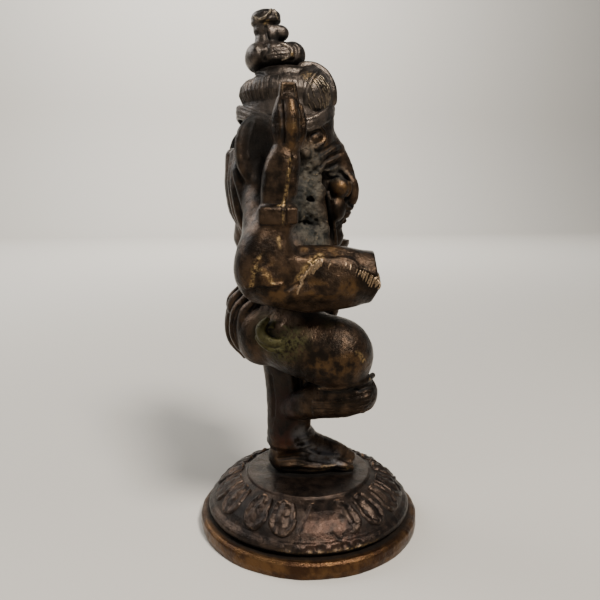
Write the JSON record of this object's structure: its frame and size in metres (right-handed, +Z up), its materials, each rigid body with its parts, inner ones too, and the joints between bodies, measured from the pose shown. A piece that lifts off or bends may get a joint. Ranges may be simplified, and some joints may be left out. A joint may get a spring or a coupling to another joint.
{
  "type": "dancing elephant-headed deity statue",
  "caption": "Small cast-brass figure of an elephant-headed dancer standing on one leg on a round lotus pedestal, with raised and forward arms, tall crown and flat underside to rest on",
  "frame": {"origin": "centre of the plinth's flat underside", "axes": "+Z up along the figure, the figure faces -Y, its right side is -X"},
  "size_m": [0.044, 0.044, 0.0991],
  "materials": {
    "dark_bronze": "dark brown patina, worn glossy on high spots",
    "crown_bronze": "grey-brown patina, semi-matt",
    "pedestal_bronze": "dark patina with rubbed rim",
    "worn_copper": "coppery rubbed edge, satin",
    "verdigris": "matt, yellow-green oxide in the hollows"
  },
  "bodies": {
    "root": {"plinth": "worn_copper", "lotus_cushion": "pedestal_bronze", "lotus_petals": "pedestal_bronze", "foot_plate": "pedestal_bronze", "standing_foot": "dark_bronze", "standing_anklet": "dark_bronze", "standing_leg": "dark_bronze", "right_thigh": "dark_bronze", "right_shin": "dark_bronze", "right_anklet": "dark_bronze", "right_foot": "dark_bronze", "hips": "dark_bronze", "waist_belt": "dark_bronze", "belt_knot": "dark_bronze", "sash_folds": "dark_bronze", "sash_rosette": "verdigris", "belly": "dark_bronze", "chest": "dark_bronze", "necklace": "dark_bronze", "pendant": "dark_bronze", "sacred_thread": "dark_bronze", "hair_locks": "dark_bronze", "head": "dark_bronze", "trunk": "dark_bronze", "trunk_sweet": "dark_bronze", "right_tusk": "dark_bronze", "left_tusk": "dark_bronze", "right_ear": "dark_bronze", "left_ear": "dark_bronze", "crown_band": "crown_bronze", "crown_dome": "crown_bronze", "crown_crest": "crown_bronze", "crown_roll": "crown_bronze", "crown_neck": "crown_bronze", "crown_knot": "crown_bronze", "crown_finial": "crown_bronze", "right_upper_arm": "dark_bronze", "right_elbow": "dark_bronze", "right_armlet": "dark_bronze", "right_rear_forearm": "dark_bronze", "right_rear_hand": "dark_bronze", "goad": "dark_bronze", "right_front_forearm": "dark_bronze", "right_front_hand": "dark_bronze", "left_upper_arm": "dark_bronze", "left_elbow": "dark_bronze", "left_armlet": "dark_bronze", "left_rear_forearm": "dark_bronze", "left_rear_hand": "dark_bronze", "noose": "dark_bronze", "left_front_forearm": "dark_bronze", "left_front_hand": "dark_bronze", "sweet_bowl": "dark_bronze", "sweets": "dark_bronze"}
  },
  "joints": []
}
